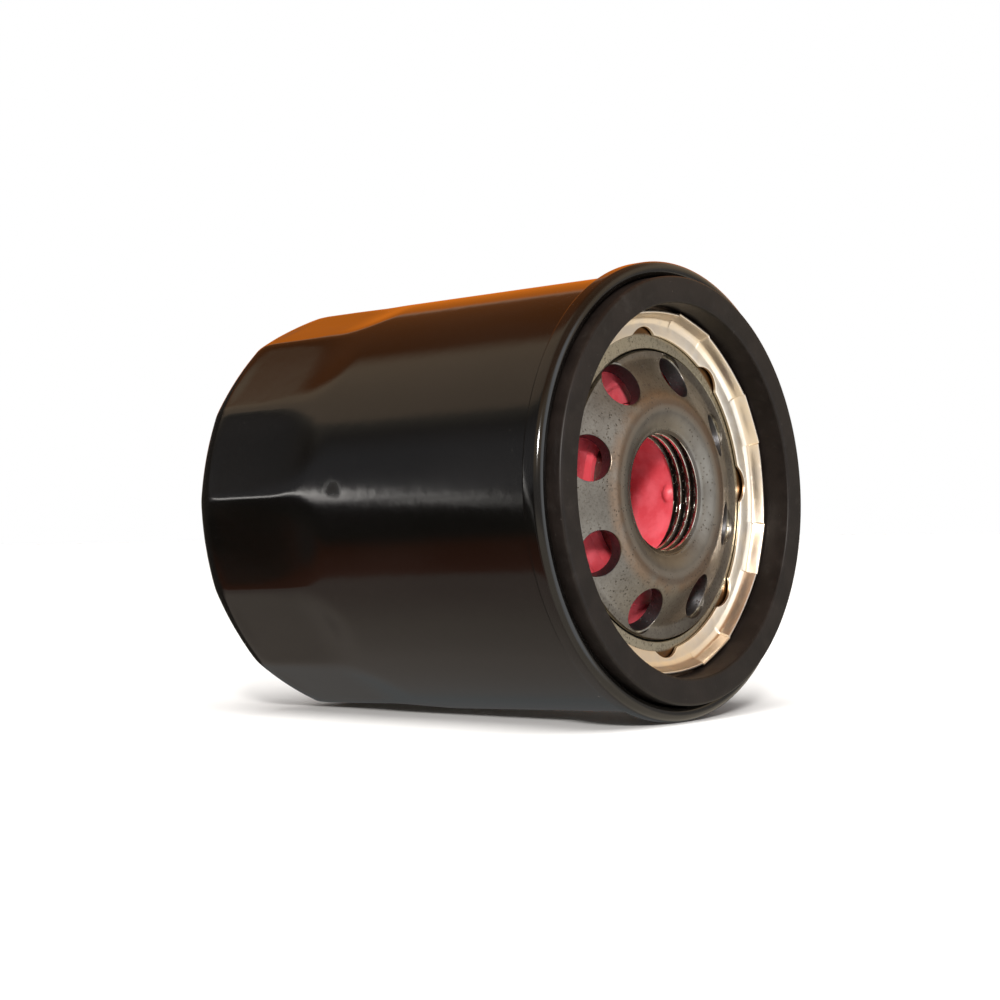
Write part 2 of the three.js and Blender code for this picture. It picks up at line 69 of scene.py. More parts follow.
def softened(corners, step=12):
    """The outline of (x, r, fillet) corners, with an arc in place of each corner that has one."""
    points = []
    for i, (x, r, fillet) in enumerate(corners):
        here = np.array((x, r), float)
        if not fillet:
            points.append(here)
            continue
        before = np.array(corners[i - 1][:2]) - here
        after = np.array(corners[(i + 1) % len(corners)][:2]) - here
        before, after = before / np.linalg.norm(before), after / np.linalg.norm(after)
        half = math.acos(np.clip(before @ after, -1, 1)) / 2
        inwards = (before + after) / np.linalg.norm(before + after)
        centre = here + inwards * fillet / math.sin(half)
        reach = fillet / math.tan(half)
        start, stop = (math.atan2(*(here + side * reach - centre)[::-1]) for side in (before, after))
        sweep = (stop - start + math.pi) % (2 * math.pi) - math.pi
        count = max(2, round(abs(sweep) / math.radians(step)))
        for k in range(count + 1):
            angle = start + sweep * k / count
            points.append(centre + fillet * np.array((math.cos(angle), math.sin(angle))))
    return points


def spaced(points, longest):
    """The same open line, with no step longer than longest."""
    fine = [np.array(points[0], float)]
    for point in points[1:]:
        start, stop = fine[-1], np.array(point, float)
        count = math.ceil(np.linalg.norm(stop - start) / longest)
        fine += [start + (stop - start) * k / count for k in range(1, count + 1)]
    return fine


def mesh_piece(name, points, faces, crease=40):
    """A mesh of millimetre points: doubles merged, faces outwards, smooth but for sharp edges."""
    mesh = bpy.data.meshes.new(name)
    mesh.from_pydata((np.asarray(points) / 1000).tolist(), [], np.asarray(faces).tolist())
    shell = bmesh.new()
    shell.from_mesh(mesh)
    bmesh.ops.remove_doubles(shell, verts=shell.verts, dist=2e-6)
    bmesh.ops.recalc_face_normals(shell, faces=shell.faces)
    shell.to_mesh(mesh)
    shell.free()
    mesh.shade_smooth()
    mesh.set_sharp_from_angle(angle=math.radians(crease))
    piece = bpy.data.objects.new(name, mesh)
    bpy.context.scene.collection.objects.link(piece)
    return piece


def evenly(count):
    """So many angles, equally spaced around the axis."""
    return np.linspace(0, 2 * math.pi, count, endpoint=False)


def turned(name, outline, angles, shape=None, crease=40):
    """A skin of revolution about the axis. shape may move its points: (x, r, angle) to (x, r)."""
    outline = np.asarray(outline, float)
    x, angle = np.meshgrid(outline[:, 0], angles, indexing="ij")
    r = np.repeat(outline[:, 1:], len(angles), axis=1)
    if shape:
        x, r = shape(x, r, angle)
    points = np.stack([x, -r * np.cos(angle), r * np.sin(angle)], axis=-1).reshape(-1, 3)
    rows, around = x.shape
    touches_axis = outline[0, 1] == 0
    row, column = np.meshgrid(np.arange(rows - touches_axis), np.arange(around), indexing="ij")
    next_row, next_column = (row + 1) % rows, (column + 1) % around
    corners = [(row, column), (next_row, column), (next_row, next_column), (row, next_column)]
    faces = np.stack([a * around + b for a, b in corners], axis=-1).reshape(-1, 4)
    return mesh_piece(name, points, faces, crease)


def press_flats(x, r, angle):
    """Pulls the round wall in to the flats, which fade out over the shoulder."""
    pitch = 2 * math.pi / FLATS
    from_middle = np.mod(angle - FLAT_TURN, pitch) - pitch / 2
    runout = np.maximum(0, x - FLAT_LENGTH) ** 2 / (2 * RUNOUT_R)
    flat = (FLAT_APOTHEM + runout) / np.cos(from_middle)
    soft = EDGE_SOFTNESS + RUNOUT_SOFTNESS * np.clip((x - 13) / 7, 0, 1)
    nearness = np.clip(0.5 + (CAN_R - flat) / (2 * soft), 0, 1)
    wall = CAN_R + (flat - CAN_R) * nearness - soft * nearness * (1 - nearness)
    end = (FLAT_APOTHEM + CAN_R) / 2
    return x, r * (end + (wall - end) * np.clip(x / SHOULDER, 0, 1)) / CAN_R


class Value:
    """A shader socket. Arithmetic on it adds the Math nodes that work it out."""

    def __init__(self, nodes, socket):
        self.nodes, self.socket = nodes, socket

    def math(self, operation, first, second=0.0):
        return self.nodes.add("Math", {"operation": operation}, [first, second])

    def __add__(self, other):
        return self.math("ADD", self, other)

    def __sub__(self, other):
        return self.math("SUBTRACT", self, other)

    def __rsub__(self, other):
        return self.math("SUBTRACT", other, self)

    def __mul__(self, other):
        return self.math("MULTIPLY", self, other)

    def __truediv__(self, other):
        return self.math("DIVIDE", self, other)

    def __pow__(self, other):
        return self.math("POWER", self, other)

    __radd__ = __add__
    __rmul__ = __mul__

    def between(self, low, high):
        """0 up to low, 1 from high on, with a soft change between them."""
        settings = {"interpolation_type": "SMOOTHSTEP"}
        return self.nodes.add("MapRange", settings, {"Value": self, "From Min": low, "From Max": high})

    def band(self, centre, width, soft):
        """1 within half of width of centre, fading out over soft on both sides."""
        offset = self.math("ABSOLUTE", self - centre)
        return 1 - offset.between(width / 2, width / 2 + soft)


class Nodes:
    """The nodes of one material or world."""

    def __init__(self, owner):
        owner.use_nodes = True
        self.owner, self.tree = owner, owner.node_tree
        self.tree.nodes.clear()

    def add(self, kind, settings=None, sockets=None, output=0):
        """One node: its settings first, then the values or links of its sockets."""
        node = self.tree.nodes.new("ShaderNode" + kind)
        for name, value in (settings or {}).items():
            setattr(node, name, value)
        named = sockets.items() if isinstance(sockets, dict) else enumerate(sockets or [])
        for name, value in named:
            if isinstance(value, Value):
                self.tree.links.new(value.socket, node.inputs[name])
            else:
                node.inputs[name].default_value = value
        return Value(self, node.outputs[output]) if node.outputs else node

    def mix(self, factor, first, second):
        """Colour first where factor is 0, second where it is 1."""
        low, high = (colour if isinstance(colour, Value) else (*colour, 1) for colour in (first, second))
        return self.add("Mix", {"data_type": "RGBA"}, {0: factor, 6: low, 7: high}, 2)

    def ramp(self, value, stops):
        """A colour that changes along value, through (position, colour) stops."""
        node = self.tree.nodes.new("ShaderNodeValToRGB")
        elements = node.color_ramp.elements
        while len(elements) < len(stops):
            elements.new(0.5)
        for element, (position, colour) in zip(elements, stops):
            element.position, element.color = position, (*colour, 1)
        self.tree.links.new(value.socket, node.inputs[0])
        return Value(self, node.outputs[0])


class Finish(Nodes):
    """A material: one principled shader, whose pattern lies in the piece's own millimetres."""

    def __init__(self, name, **uniform):
        super().__init__(bpy.data.materials.new(name))
        self.uniform = {key.replace("_", " "): value for key, value in uniform.items()}
        metres = self.add("TexCoord", output=3)
        self.place = self.add("VectorMath", {"operation": "SCALE"}, {0: metres, "Scale": 1000.0})
        self.x, self.y, self.z = (self.add("SeparateXYZ", {}, [self.place], i) for i in range(3))
        self.r = (self.y * self.y + self.z * self.z) ** 0.5

    def noise(self, size, detail=2.0, roughness=0.5, stretch=None, seed=0.0):
        """Soft noise from 0 to 1 with features about size millimetres across."""
        where = self.place
        if stretch:
            where = self.add("VectorMath", {"operation": "MULTIPLY"}, [where, stretch])
        where = self.add("VectorMath", {"operation": "ADD"}, [where, (seed, seed, seed)])
        sockets = {"Vector": where, "Scale": 1 / size, "Detail": detail, "Roughness": roughness}
        return self.add("TexNoise", {}, sockets)

    def specks(self, size, share, seed=0.0, soft=0.05):
        """1 on small round specks, about size millimetres apart, and 0 between them."""
        where = self.add("VectorMath", {"operation": "ADD"}, [self.place, (seed, seed, seed)])
        cells = self.add("TexVoronoi", {}, {"Vector": where, "Scale": 1 / size})
        return 1 - cells.between(share - soft, share)

    def bump(self, height, distance, below=None):
        """The pattern as relief, distance millimetres deep, laid over any bump below it."""
        sockets = {"Height": height, "Distance": distance / 1000, "Strength": 1.0}
        if below:
            sockets["Normal"] = below
        return self.add("Bump", {}, sockets)

    def shade(self, **varying):
        """Closes the material with what changes over the surface."""
        sockets = {**self.uniform, **{key.replace("_", " "): v for key, v in varying.items()}}
        for key, value in sockets.items():
            if isinstance(value, tuple) and len(value) == 3 and "Color" in key:
                sockets[key] = (*value, 1)
        surface = self.add("BsdfPrincipled", {}, sockets)
        self.add("OutputMaterial", {}, {"Surface": surface})
        return self.owner


def paint(piece, material):
    """Gives the piece one material."""
    piece.data.materials.clear()
    piece.data.materials.append(material)


def enamel(name, chips):
    """Gloss black enamel: orange peel, a little dust, a dull touch mark and chips to the primer."""
    coat = Finish(name, Specular_IOR_Level=0.5)
    peel = coat.noise(2.2, detail=3.0, roughness=0.45)
    runs = coat.noise(9.0, detail=1.0, stretch=(0.35, 1.0, 1.0), seed=3.1)
    dust = coat.specks(1.9, 0.045, seed=7.0) * coat.noise(6.0, seed=1.0).between(0.5, 0.62)
    lint = coat.specks(3.7, 0.03, seed=2.0)
    marks = coat.add("Math", {"operation": "MAXIMUM"}, [dust, lint])
    bare = coat.specks(13.0, chips, seed=5.3, soft=0.01)
    black = coat.mix(runs.between(0.35, 0.7), (0.0016, 0.0014, 0.0013), (0.003, 0.0026, 0.0024))
    dusty = coat.mix(marks * 0.55, black, (0.16, 0.15, 0.14))
    chipped = coat.mix(bare, dusty, (0.09, 0.075, 0.065))
    touched = coat.add("VectorMath", {"operation": "DISTANCE"}, [coat.place, TOUCH_MARK], 1)
    dull = 1 - (touched + peel * 2.4).between(1.6, 3.0)
    fuzz = runs * 0.05 + marks * 0.25 + bare * 0.3 + dull * 0.35 + 0.08
    waves = coat.bump(peel, 0.012, coat.bump(runs, 0.05))
    return coat.shade(Base_Color=chipped, Roughness=fuzz, Normal=waves)


can_outside = softened([(0, 0, 0), (0, 22.2, 0.7), (0.5, 23.9, 0.9), (0.5, CAN_R, 4.0), (69.6, CAN_R, 0)])
can_inside = softened([(69.6, CAN_R - CAN_SHEET, 0), (0.95, CAN_R - CAN_SHEET, 3.55),
                       (0.95, 23.8, 0.6), (0.45, 22.1, 0.6), (CAN_SHEET, 0, 0)])
can_outline = spaced(can_outside, 0.9) + spaced(can_inside, 4.0)
can = turned("can", can_outline, evenly(FLATS * POINTS_PER_FLAT) + FLAT_TURN, press_flats)
paint(can, enamel("gloss_black_enamel", 0.018))
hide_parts("housing_can")
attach(can, "housing")

# ---- Closed-end spring and its cup -------------------------------------------------------------
# A dish pressed from bright sheet sits on the can's end panel, and a conical coil of hard-drawn
# wire stands in it. The coil pushes the element up against the valve.


def grey_metal(name, colour, roughness, grain=(1.0, 1.0, 1.0)):
    """Bare sheet or wire: draw marks along its grain and a faint cloudy tarnish."""
    metal = Finish(name, Metallic=1.0)
    marks = metal.noise(0.5, detail=3.0, stretch=grain)
    cloud = metal.noise(7.0, detail=2.0, seed=4.0)
    dark = tuple(c * 0.72 for c in colour)
    tarnish = metal.mix(cloud.between(0.4, 0.68), colour, dark)
    return metal.shade(Base_Color=tarnish, Roughness=cloud * 0.12 + marks * 0.1 + (roughness - 0.1),
                       Normal=metal.bump(marks, 0.006))


def new_tree(name, inputs):
    """A geometry node tree with the given inputs, its input sockets and a function to add nodes."""
    tree = bpy.data.node_groups.new(name, "GeometryNodeTree")
    tree.interface.new_socket("Geometry", in_out="INPUT", socket_type="NodeSocketGeometry")
    for title, kind in inputs.items():
        tree.interface.new_socket(title, in_out="INPUT", socket_type="NodeSocket" + kind)
    tree.interface.new_socket("Geometry", in_out="OUTPUT", socket_type="NodeSocketGeometry")
    given = tree.nodes.new("NodeGroupInput")

    def add(kind, settings=None, sockets=None, output=0):
        node = tree.nodes.new(kind)
        for title, value in (settings or {}).items():
            setattr(node, title, value)
        for title, value in (sockets or {}).items():
            if isinstance(value, bpy.types.NodeSocket):
                tree.links.new(value, node.inputs[title])
            else:
                node.inputs[title].default_value = value
        return node.outputs[output]

    return tree, given.outputs, add


def finish_tree(tree, add, geometry, material):
    """Every tree ends the same way: real geometry, smooth, with its material."""
    real = add("GeometryNodeRealizeInstances", {}, {0: geometry})
    smooth = add("GeometryNodeSetShadeSmooth", {}, {0: real})
    coated = add("GeometryNodeSetMaterial", {}, {0: smooth, "Material": material})
    tree.links.new(coated, tree.nodes.new("NodeGroupOutput").inputs[0])
    return tree


def grown(name, tree, **values):
    """The plain mesh that a tree makes from the given inputs."""
    seed = bpy.data.objects.new(name, bpy.data.meshes.new(name + "_seed"))
    bpy.context.scene.collection.objects.link(seed)
    modifier = seed.modifiers.new("tree", "NODES")
    modifier.node_group = tree
    for item in tree.interface.items_tree:
        title = item.name.replace(" ", "_").lower()
        if item.in_out == "INPUT" and title in values:
            modifier[item.identifier] = values[title]
    graph = bpy.context.evaluated_depsgraph_get()
    mesh = bpy.data.meshes.new_from_object(seed.evaluated_get(graph))
    seed.modifiers.clear()
    seed.data = mesh
    return seed


def coil_tree():
    """A coil along +X whose ends lie flat for part of a turn, in metres."""
    sizes = {"Turns": "Float", "Low Radius": "Float", "High Radius": "Float", "Start": "Float",
             "Length": "Float", "Wire": "Float", "Flat": "Float", "Finish": "Material"}
    tree, given, add = new_tree("coil_spring", sizes)
    spiral = add("GeometryNodeCurveSpiral", {}, {
        "Resolution": 64, "Rotations": given["Turns"], "Start Radius": given["Low Radius"],
        "End Radius": given["High Radius"], "Height": given["Length"]})
    along = add("GeometryNodeSplineParameter")
    turn = add("ShaderNodeMath", {"operation": "MULTIPLY"}, {0: along, 1: given["Turns"]})
    last = add("ShaderNodeMath", {"operation": "SUBTRACT"}, {0: given["Turns"], 1: given["Flat"]})
    rise = add("ShaderNodeMapRange", {}, {"Value": turn, "From Min": given["Flat"], "From Max": last,
                                          "To Min": 0.0, "To Max": given["Length"]})
    place = add("GeometryNodeInputPosition")
    px = add("ShaderNodeSeparateXYZ", {}, {0: place}, 0)
    py = add("ShaderNodeSeparateXYZ", {}, {0: place}, 1)
    height = add("ShaderNodeMath", {"operation": "ADD"}, {0: rise, 1: given["Start"]})
    laid = add("ShaderNodeCombineXYZ", {}, {"X": height, "Y": px, "Z": py})
    line = add("GeometryNodeSetPosition", {}, {"Geometry": spiral, "Position": laid})
    wire = add("GeometryNodeCurvePrimitiveCircle", {}, {"Resolution": 14, "Radius": given["Wire"]})
    solid = add("GeometryNodeCurveToMesh", {}, {"Curve": line, "Profile Curve": wire, "Fill Caps": True})
    return finish_tree(tree, add, solid, given["Finish"])


coil_spring = coil_tree()
bright_sheet = grey_metal("bright_sheet", (0.56, 0.55, 0.53), 0.3)
spring_wire = grey_metal("spring_wire", (0.33, 0.32, 0.31), 0.28)

cup_outline = softened([(0.5, 0, 0), (0.5, 10.0, 0.9), (2.9, 10.0, 0.2), (2.9, 9.5, 0.2),
                        (1.0, 9.5, 0.5), (1.0, 0, 0)])
cup = turned("spring_dish", spaced(cup_outline, 1.5), evenly(72))
paint(cup, bright_sheet)
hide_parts("spring_cup")
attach(cup, "housing")

big_spring = grown("closed_end_spring", coil_spring, turns=2.5, low_radius=0.0111, high_radius=0.016,
                   start=0.00145, length=0.00835, wire=0.0009, flat=0.3, finish=spring_wire)
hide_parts("element_spring")
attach(big_spring, "housing")
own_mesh(big_spring)

# ---- Lower end cap and relief valve -------------------------------------------------------------
# The cap is a shallow pressing with a port in its middle. A spring in a windowed cage holds a
# plunger with a rubber disc on the port; it opens when the paper is clogged.

ELEMENT_R = 27.2

lower_cap_outline = softened([(10.8, 6.5, 0.15), (10.8, ELEMENT_R, 0.8), (14.0, ELEMENT_R, 0.2),
                              (14.0, ELEMENT_R - 0.5, 0.2), (11.3, ELEMENT_R - 0.5, 0.35),
                              (11.3, 6.5, 0.15)])
lower_cap = turned("lower_cap", lower_cap_outline, evenly(96))
paint(lower_cap, bright_sheet)
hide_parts("lower_end_cap")
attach(lower_cap, "element")


def around_tree():
    """Copies of an object, equally spaced about the axis, with the seams between them merged."""
    sizes = {"Shape": "Object", "Count": "Int", "First": "Float", "Rows": "Int", "Row Pitch": "Float",
             "Row Turn": "Float", "Finish": "Material"}
    tree, given, add = new_tree("around_the_axis", sizes)

    def sums(operation, first, second):
        return add("ShaderNodeMath", {"operation": operation}, {0: first, 1: second})

    total = sums("MULTIPLY", given["Count"], given["Rows"])
    points = add("GeometryNodePoints", {}, {"Count": total})
    index = add("GeometryNodeInputIndex")
    row = sums("FLOOR", sums("DIVIDE", index, given["Count"]), 0.0)
    spread = sums("DIVIDE", sums("MULTIPLY", index, 2 * math.pi), given["Count"])
    turn = sums("ADD", sums("ADD", spread, given["First"]), sums("MULTIPLY", row, given["Row Turn"]))
    angle = add("ShaderNodeCombineXYZ", {}, {"X": sums("MULTIPLY", turn, -1.0)})
    step = add("ShaderNodeCombineXYZ", {}, {"X": sums("MULTIPLY", row, given["Row Pitch"])})
    shape = add("GeometryNodeObjectInfo", {}, {"Object": given["Shape"]}, 4)
    moved = add("GeometryNodeSetPosition", {}, {"Geometry": points, "Position": step})
    copies = add("GeometryNodeInstanceOnPoints", {}, {"Points": moved, "Instance": shape, "Rotation": angle})
    real = add("GeometryNodeRealizeInstances", {}, {0: copies})
    joined = add("GeometryNodeMergeByDistance", {}, {"Geometry": real, "Distance": 2e-6})
    return finish_tree(tree, add, joined, given["Finish"])


around_the_axis = around_tree()


def repeated(name, shape, material, count, first=0.0, rows=1, row_pitch=0.0, row_turn=0.0, crease=40):
    """The shape repeated about the axis as one plain mesh; the single shape is thrown away."""
    piece = grown(name, around_the_axis, shape=shape, count=count, first=math.radians(first), rows=rows,
                  row_pitch=row_pitch / 1000, row_turn=math.radians(row_turn), finish=material)
    bpy.data.objects.remove(shape)
    piece.data.set_sharp_from_angle(angle=math.radians(crease))
    return piece


def cut_out(piece, cutter, crease=35):
    """Takes the cutter's shape out of the piece."""
    modifier = piece.modifiers.new("cut", "BOOLEAN")
    modifier.operation, modifier.solver, modifier.object = "DIFFERENCE", "EXACT", cutter
    graph = bpy.context.evaluated_depsgraph_get()
    mesh = bpy.data.meshes.new_from_object(piece.evaluated_get(graph))
    piece.modifiers.clear()
    piece.data = mesh
    bpy.data.objects.remove(cutter)
    mesh.set_sharp_from_angle(angle=math.radians(crease))
    return piece


def block(name, low, high):
    """A plain box of millimetre corners, for cutting windows."""
    points = [(x, y, z) for x in (low[0], high[0]) for y in (low[1], high[1]) for z in (low[2], high[2])]
    faces = [(0, 1, 3, 2), (4, 6, 7, 5), (0, 4, 5, 1), (2, 3, 7, 6), (0, 2, 6, 4), (1, 5, 7, 3)]
    return mesh_piece(name, points, faces)


cage_outline = softened([(11.35, 8.6, 0.1), (11.35, 11.6, 0.1), (11.85, 11.6, 0.1), (11.85, 9.1, 0.4),
                         (21.0, 9.1, 0.9), (21.0, 2.2, 0.1), (20.5, 2.2, 0.1), (20.5, 8.6, 0.5)])
cage = turned("relief_valve_cage", cage_outline, evenly(72))
window = block("window", (13.1, -12.0, -3.0), (18.1, -6.0, 3.0))
cut_out(cage, repeated("windows", window, None, 4, first=45))
paint(cage, bright_sheet)
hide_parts("relief_cage")
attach(cage, "element")

plunger_outline = softened([(12.5, 0, 0), (12.5, 7.6, 0.2), (13.3, 7.6, 0.2), (13.3, 2.8, 0.3),
                            (14.1, 1.8, 0.4), (22.5, 1.8, 0.35), (22.5, 0, 0)])
plunger = turned("relief_plunger_stem", plunger_outline, evenly(48))
paint(plunger, bright_sheet)
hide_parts("relief_poppet")
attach(plunger, "relief_plunger")


def rubber(name, colour, roughness, dust):
    """Moulded rubber: a fine skin, worn lighter in places, with fingerprints of dust."""
    skin = Finish(name, Specular_IOR_Level=0.2)
    fine = skin.noise(0.35, detail=3.0)
    worn = skin.noise(5.0, detail=4.0, roughness=0.6, seed=2.0)
    smear = skin.noise(2.6, detail=6.0, roughness=0.7, seed=8.0).between(0.52, 0.74)
    grit = skin.specks(1.3, 0.05, seed=3.0) * skin.noise(7.0, seed=6.0).between(0.48, 0.6)
    base = skin.mix(worn.between(0.35, 0.7), tuple(c * 0.8 for c in colour), tuple(c * 1.35 for c in colour))
    dusted = skin.mix(smear * dust, base, (0.15, 0.135, 0.12))
    specked = skin.mix(grit * 0.7, dusted, (0.34, 0.31, 0.28))
    return skin.shade(Base_Color=specked, Roughness=worn * 0.14 + smear * 0.1 + (roughness - 0.08),
                      Normal=skin.bump(fine, 0.012, skin.bump(worn, 0.03)))


seal_outline = softened([(11.35, 0, 0), (11.35, 7.8, 0.2), (12.45, 7.8, 0.2), (12.45, 0, 0)])
seal = turned("relief_rubber_disc", seal_outline, evenly(48))
paint(seal, rubber("relief_rubber", (0.02, 0.019, 0.018), 0.5, 0.2))
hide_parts("relief_seal")
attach(seal, "relief_plunger")

small_spring = grown("relief_valve_spring", coil_spring, turns=4.0, low_radius=0.0046, high_radius=0.0046,
                     start=0.0138, length=0.0062, wire=0.00045, flat=0.35, finish=spring_wire)
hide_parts("relief_spring")
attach(small_spring, "element")
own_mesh(small_spring)

# ---- Centre tube -------------------------------------------------------------------------------
# Perforated sheet rolled into a tube between the end caps. It keeps the oil's pressure from
# crushing the paper, and the clean oil flows in through its staggered round holes.

TUBE_R, TUBE_SHEET = 12.8, 0.5
TUBE_HOLE_R = 2.2
HOLES_IN_ROW, HOLE_ROWS, ROW_PITCH = 8, 4, 9.5
FIRST_ROW = 20.0
PERFORATED = (FIRST_ROW - ROW_PITCH / 2, FIRST_ROW + (HOLE_ROWS - 0.5) * ROW_PITCH)


def tube_tile():
    """The stretch of the tube's wall around one hole, which meets its neighbours at even steps."""
    half_turn, half_row, per_side, rings = math.pi / HOLES_IN_ROW, ROW_PITCH / 2, 8, 3
    spokes = 4 * per_side
    hole_angle = TUBE_HOLE_R / TUBE_R
    rows = []
    for k in range(spokes):
        way = 2 * math.pi * k / spokes + math.pi / 4
        along = 1 - 2 * (k % per_side) / per_side
        up, across = [(1, along), (along, -1), (-1, -along), (-along, 1)][k // per_side]
        for ring in range(rings + 1):
            t = ring / rings
            rows.append((math.sin(way) * TUBE_HOLE_R * (1 - t) + up * half_row * t,
                         math.cos(way) * hole_angle * (1 - t) + across * half_turn * t))
    points, faces = [], []
    for radius in (TUBE_R, TUBE_R - TUBE_SHEET):
        points += [(FIRST_ROW + up, -radius * math.cos(a), radius * math.sin(a)) for up, a in rows]
    ring_size, wall = rings + 1, spokes * (rings + 1)
    for k in range(spokes):
        here, there = k * ring_size, (k + 1) % spokes * ring_size
        for ring in range(rings):
            faces.append((here + ring, there + ring, there + ring + 1, here + ring + 1))
            faces.append([wall + corner for corner in reversed(faces[-1])])
        faces.append((here, wall + here, wall + there, there))
    return mesh_piece("tube_tile", points, faces)


tube = repeated("perforated_tube", tube_tile(), bright_sheet, HOLES_IN_ROW, rows=HOLE_ROWS,
                row_pitch=ROW_PITCH, row_turn=180 / HOLES_IN_ROW)
wall = bmesh.new()
wall.from_mesh(tube.data)
for end in PERFORATED:
    open_edges = [edge for edge in wall.edges if edge.is_boundary]
    rim = [edge for edge in open_edges if abs(edge.verts[0].co.x * 1000 - end) < 0.1]
    bmesh.ops.bridge_loops(wall, edges=rim)
bmesh.ops.recalc_face_normals(wall, faces=wall.faces)
wall.to_mesh(tube.data)
wall.free()


def tube_end(low, high):
    """The plain end of the tube, beyond its holes."""
    inside = TUBE_R - TUBE_SHEET
    outline = [(low, TUBE_R), (high, TUBE_R), (high, inside), (low, inside)]
    end = turned("tube_end", outline, evenly(64))
    paint(end, bright_sheet)
    return end


for end in (tube_end(11.35, PERFORATED[0]), tube_end(PERFORATED[1], 59.95)):
    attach(end, "element")
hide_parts("centre_tube")
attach(tube, "element")

# ---- Pleated paper ------------------------------------------------------------------------------
# A long strip of resin-soaked filter paper is scored, folded into a star of pleats and closed by
# a folded metal clip. It is glued into both end caps.

PLEATS = 32
PLEAT_LOW, PLEAT_HIGH, PLEAT_STEPS = 12.2, 59.1, 8


def pleat():
    """One pleat: a folded wall of paper with a round fold outside and half of one on each side."""
    outer, inner, sheet, flank = 25.9, 13.95, 0.55, math.pi / PLEATS
    share = np.linspace(-1, 1, 49)
    r = inner + (outer - inner) * (1 - np.abs(share)) ** 0.98
    middle = np.stack([r * np.cos(share * flank), r * np.sin(share * flank)], axis=1)
    for _ in range(3):
        middle[1:-1] = (middle[:-2] + middle[2:] + 2 * middle[1:-1]) / 4
    along = np.gradient(middle, axis=0)
    along[0], along[-1] = (-math.sin(-flank), math.cos(-flank)), (-math.sin(flank), math.cos(flank))
    side = np.stack([along[:, 1], -along[:, 0]], axis=1) / np.linalg.norm(along, axis=1)[:, None]
    section = np.concatenate([middle + side * sheet / 2, (middle - side * sheet / 2)[::-1]])
    count, points, faces = len(section), [], []
    for level, height in enumerate(np.linspace(PLEAT_LOW, PLEAT_HIGH, PLEAT_STEPS + 1)):
        points += [(height, -outwards, sideways) for outwards, sideways in section]
        if level:
            base = (level - 1) * count
            for k in range(count):
                if k not in (count // 2 - 1, count - 1):
                    faces.append((base + k, base + k + 1, base + count + k + 1, base + count + k))
    half = count // 2
    for base, flip in ((0, False), (PLEAT_STEPS * count, True)):
        for k in range(half - 1):
            quad = (base + k, base + k + 1, base + count - 2 - k, base + count - 1 - k)
            faces.append(quad[::-1] if flip else quad)
    return mesh_piece("pleat", points, faces, 60)


def paper():
    """Buff filter paper: fibres, a cloudy cure of the resin and darker folds."""
    sheet = Finish("filter_paper", Roughness=0.88, Specular_IOR_Level=0.2)
    fibre = sheet.noise(0.28, detail=5.0, roughness=0.7, stretch=(0.4, 1.0, 1.0))
    cure = sheet.noise(8.0, detail=3.0, seed=3.0)
    buff = sheet.mix(cure.between(0.35, 0.7), (0.66, 0.5, 0.25), (0.56, 0.4, 0.18))
    fibrous = sheet.mix(fibre.between(0.5, 0.75) * 0.5, buff, (0.8, 0.68, 0.44))
    folded = sheet.mix(sheet.r.between(24.6, 25.9) * 0.35, fibrous, (0.34, 0.22, 0.09))
    return sheet.shade(Base_Color=folded, Normal=sheet.bump(fibre, 0.05))


pleats = repeated("pleated_paper", pleat(), paper(), PLEATS, crease=60)
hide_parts("pleated_media")
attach(pleats, "element")

# ---- Paper clip --------------------------------------------------------------------------------
# A folded strip of bright sheet, crimped over the two ends of the paper. It keeps the plain shape
# of its solid.

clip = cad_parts["media_seam_clip"]
paint(clip, bright_sheet)

# ---- Adhesive discs ----------------------------------------------------------------------------
# Plastisol poured into each end cap and cured in the oven with the paper standing in it: brown,
# a little uneven and full of small bubbles.

glue = Finish("cured_plastisol", Specular_IOR_Level=0.4)
cured = glue.noise(2.4, detail=3.0)
bubbles = glue.specks(1.1, 0.16, seed=2.0)
glue_colour = glue.mix(cured.between(0.3, 0.7), (0.27, 0.085, 0.03), (0.4, 0.14, 0.05))
glue_finish = glue.shade(Base_Color=glue_colour, Roughness=cured * 0.3 + 0.3,
                         Normal=glue.bump(bubbles, -0.15, glue.bump(cured, 0.3)))
for name, low in (("lower_adhesive", 11.4), ("upper_adhesive", 59.15)):
    outline = softened([(low, 13.0, 0.2), (low, 26.5, 0.2), (low + 0.8, 26.5, 0.3), (low + 0.8, 13.0, 0.3)])
    disc = turned(name, spaced(outline, 2.0), evenly(96))
    paint(disc, glue_finish)
    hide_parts(name.replace("adhesive", "bond"))
    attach(disc, "element")

# ---- Upper end cap -----------------------------------------------------------------------------
# A pressing like the lower one. Its short collar turns down into the tube, and the valve's sleeve
# seals in it.

upper_cap_outline = softened([(60.5, 11.3, 0.5), (57.0, 11.3, 0.1), (57.0, 11.8, 0.1), (60.0, 11.8, 0.35),
                              (60.0, 26.7, 0.35), (57.3, 26.7, 0.1), (57.3, 27.2, 0.1), (60.5, 27.2, 0.7)])
upper_cap = turned("upper_cap", upper_cap_outline, evenly(96))
paint(upper_cap, bright_sheet)
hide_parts("upper_end_cap")
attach(upper_cap, "element")

# ---- Anti-drain valve ---------------------------------------------------------------------------
# One moulding of red silicone. Its hub is clamped under the plate's neck, a sleeve seals in the
# upper cap, and a thin flared lip lies under the inlets and keeps the oil in the can.


